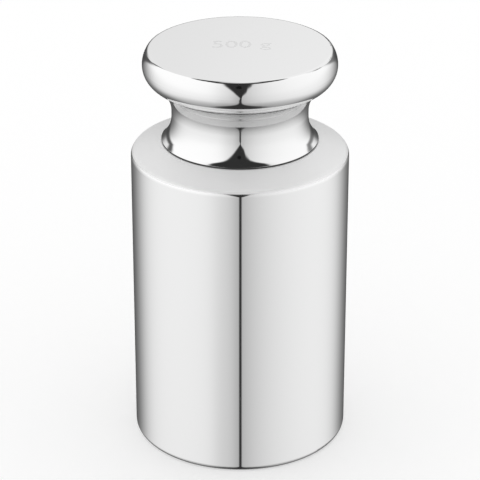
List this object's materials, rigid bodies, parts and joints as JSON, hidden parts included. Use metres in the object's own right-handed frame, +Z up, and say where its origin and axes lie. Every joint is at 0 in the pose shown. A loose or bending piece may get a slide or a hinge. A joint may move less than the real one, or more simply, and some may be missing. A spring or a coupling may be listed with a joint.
{
  "type": "calibration weight",
  "caption": "Polished steel cylinder with a sloping shoulder, a waisted neck and a flat-topped round knob for lifting; shot-filled cavity inside.",
  "frame": {"origin": "centre of the flat base, on the axis", "axes": "+Z up the axis of revolution, from the base to the knob's flat top; X and Y are equivalent"},
  "size_m": [0.038, 0.038, 0.0726],
  "materials": {
    "polished_steel": "mirror-polished stainless steel",
    "shot_steel": "plain ground steel balls"
  },
  "bodies": {
    "root": {"body": "polished_steel", "knob": "polished_steel", "adjusting_shot": "shot_steel"}
  },
  "joints": []
}
